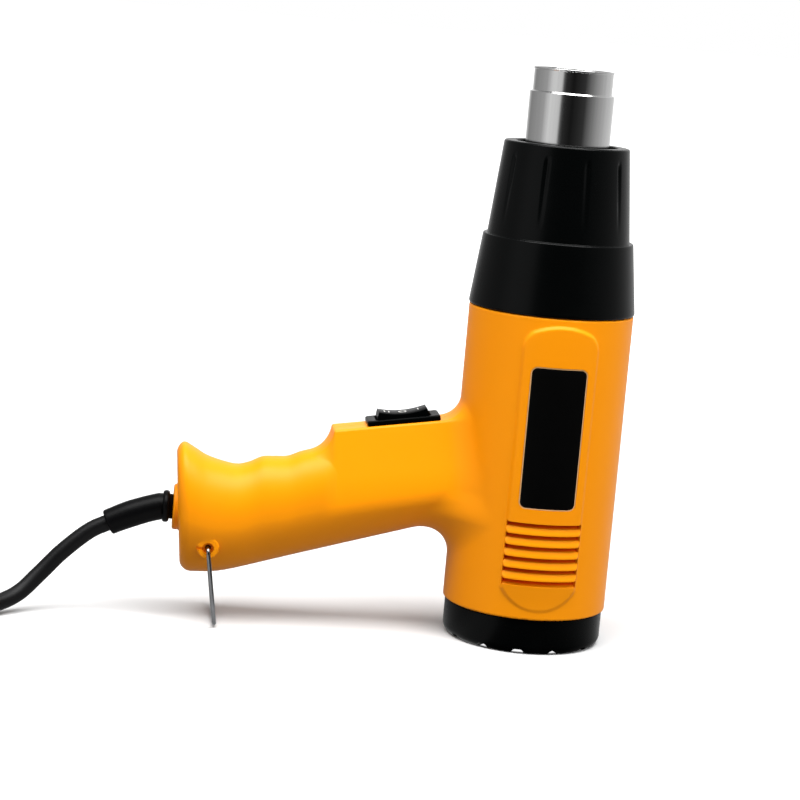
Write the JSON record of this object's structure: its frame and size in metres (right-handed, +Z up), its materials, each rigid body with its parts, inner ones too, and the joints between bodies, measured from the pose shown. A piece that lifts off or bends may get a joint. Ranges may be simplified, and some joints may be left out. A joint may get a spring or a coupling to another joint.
{
  "type": "hot air tool",
  "caption": "Pistol-shaped heat gun with a moulded clamshell body, black nose guard, stepped steel nozzle, rocker switch, wire hanging bail and a mains cord.",
  "frame": {"origin": "centre of the rear cap's flat underside, which the tool stands on", "axes": "+Z up along the barrel towards the nozzle, handle towards -X, vent panel with the label plate towards -Y"},
  "size_m": [0.3633, 0.0972, 0.2407],
  "materials": {
    "shell": "satin moulded orange",
    "label": "bare black film",
    "fastener": "zinc plated",
    "guard": "satin moulded black",
    "nozzle": "polished tube",
    "mica": "pressed mica",
    "heater_wire": "oxidised resistance wire",
    "inner_plastic": "moulded grey",
    "motor_steel": "drawn steel",
    "bronze": "sintered bronze",
    "ferrite": "pressed ferrite",
    "carbon": "carbon block",
    "laminations": "stacked laminations",
    "board": "circuit board",
    "cap": "satin moulded black",
    "switch": "moulded black",
    "terminal": "stamped tabs",
    "bail": "drawn wire",
    "sleeve": "moulded",
    "cord": "smooth sheath",
    "brown_wire": "insulated",
    "blue_wire": "insulated",
    "red_wire": "insulated",
    "tie": "moulded strap",
    "plug": "moulded",
    "pin": "nickel plated"
  },
  "bodies": {
    "housing": {"left_housing": "shell", "right_housing": "shell", "label_plate": "label", "housing_screw_1": "fastener", "housing_screw_2": "fastener", "housing_screw_3": "fastener", "housing_screw_4": "fastener", "housing_screw_5": "fastener", "nose_guard": "guard", "outlet_nozzle": "nozzle", "heater_base": "mica", "mica_sleeve": "mica", "heater_card_1": "mica", "heater_card_2": "mica", "heating_coil": "heater_wire", "fan_duct": "inner_plastic", "motor_can": "motor_steel", "motor_end_cap": "inner_plastic", "front_bush": "bronze", "rear_bush": "bronze", "field_magnet_1": "ferrite", "field_magnet_2": "ferrite", "brush_1": "carbon", "brush_2": "carbon", "rectifier_board": "board", "motor_screw_1": "fastener", "motor_screw_2": "fastener", "rear_cap": "cap", "switch_frame": "switch", "switch_terminal_1": "terminal", "switch_terminal_2": "terminal", "switch_terminal_3": "terminal", "strain_relief": "sleeve", "cord_inner": "cord", "cord_clamp": "inner_plastic", "clamp_screw_1": "fastener", "clamp_screw_2": "fastener", "live_wire": "brown_wire", "neutral_wire": "blue_wire", "heater_wire": "red_wire", "cord_coil": "cord", "cord_lead": "cord", "cord_tail": "cord", "coil_tie": "tie", "plug_body": "plug", "plug_pin_1": "pin", "plug_pin_2": "pin"},
    "rotor": {"motor_shaft": "motor_steel", "armature": "laminations", "commutator": "bronze", "fan_wheel": "inner_plastic"},
    "rocker": {"rocker_button": "switch"},
    "bail": {"wire_bail": "bail"}
  },
  "joints": [
    {"name": "rotor_spin", "type": "hinge", "parent": "housing", "child": "rotor", "pos_m": [0, 0, 0.06], "axis": [0, 0, 1], "continuous": true},
    {"name": "rocker_tilt", "type": "hinge", "parent": "housing", "child": "rocker", "pos_m": [-0.05838, 0, 0.08959], "axis": [0, 1, 0], "range_deg": [-10, 10]},
    {"name": "bail_swing", "type": "hinge", "parent": "housing", "child": "bail", "pos_m": [-0.1365, 0, 0.0334], "axis": [0, 1, 0], "range_deg": [-65, 94]}
  ]
}
